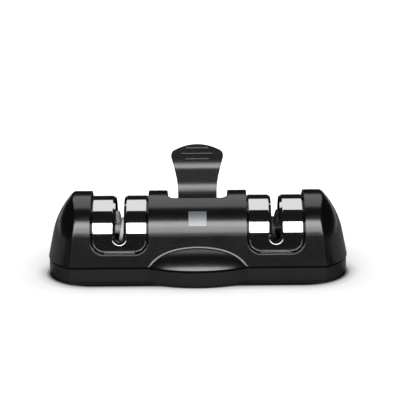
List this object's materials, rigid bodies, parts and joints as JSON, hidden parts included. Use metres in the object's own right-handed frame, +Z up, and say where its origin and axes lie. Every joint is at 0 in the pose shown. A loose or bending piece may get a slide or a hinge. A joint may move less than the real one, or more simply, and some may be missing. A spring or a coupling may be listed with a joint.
{
  "type": "pull through knife sharpener",
  "caption": "Long low casing with slotted chrome guides over tilted grinding wheels, held to the worktop by a suction cup that an upright folding lever pulls tight.",
  "frame": {"origin": "on the table under the middle of the casing", "axes": "+X along the casing's length, -Y is the front, +Z up"},
  "size_m": [0.176, 0.0716, 0.075],
  "materials": {
    "black_abs": "satin black moulded ABS",
    "chrome_cover": "polished chrome plating",
    "carrier_plastic": "dark moulded nylon",
    "white_nylon": "natural white nylon",
    "white_ceramic": null,
    "diamond_grit": "dark steel disc coated with diamond grit",
    "steel": "bright steel",
    "badge_metal": "light satin plate",
    "soft_rubber": "black silicone rubber"
  },
  "bodies": {
    "casing": {"upper_shell": "black_abs", "base_shell": "black_abs", "left_guide_cover": "chrome_cover", "right_guide_cover": "chrome_cover", "left_wheel_carrier": "carrier_plastic", "right_wheel_carrier": "carrier_plastic", "left_wheel_axles": "steel", "right_wheel_axles": "steel", "left_wheel_spacers": "white_nylon", "right_wheel_spacers": "carrier_plastic", "badge_plate": "badge_metal", "cam_bridge": "steel", "wear_plate": "steel", "suction_cup": "soft_rubber", "rubber_feet": "soft_rubber", "casing_screws": "steel", "carrier_screws": "steel", "bridge_screws": "steel"},
    "stem": {"pull_stem": "steel", "lever_pin": "steel"},
    "lever": {"lever": "black_abs"},
    "fine_front": {"fine_wheel_front": "white_ceramic"},
    "fine_rear": {"fine_wheel_rear": "white_ceramic"},
    "coarse_front": {"coarse_wheel_front": "diamond_grit"},
    "coarse_rear": {"coarse_wheel_rear": "diamond_grit"}
  },
  "joints": [
    {"name": "stem_lift", "type": "slide", "parent": "casing", "child": "stem", "axis": [0, 0, 1], "range_m": [0, 0.0037], "deforming": ["suction_cup"]},
    {"name": "lever_fold", "type": "hinge", "parent": "stem", "child": "lever", "pos_m": [0, 0, 0.0373], "axis": [-1, 0, 0], "range_deg": [0, 90]},
    {"name": "fine_front_spin", "type": "hinge", "parent": "casing", "child": "fine_front", "pos_m": [-0.04398, -0.0083, 0.0282], "axis": [0.9848, 0, -0.1736], "continuous": true},
    {"name": "fine_rear_spin", "type": "hinge", "parent": "casing", "child": "fine_rear", "pos_m": [-0.04642, 0.0083, 0.0282], "axis": [0.9848, 0, 0.1736], "continuous": true},
    {"name": "coarse_front_spin", "type": "hinge", "parent": "casing", "child": "coarse_front", "pos_m": [0.04398, -0.0083, 0.0282], "axis": [0.9848, 0, 0.1736], "continuous": true},
    {"name": "coarse_rear_spin", "type": "hinge", "parent": "casing", "child": "coarse_rear", "pos_m": [0.04642, 0.0083, 0.0282], "axis": [0.9848, 0, -0.1736], "continuous": true}
  ],
  "couplings": [
    {"joint": "stem_lift", "follows": "lever_fold", "m_per_rad": 0.002355}
  ]
}
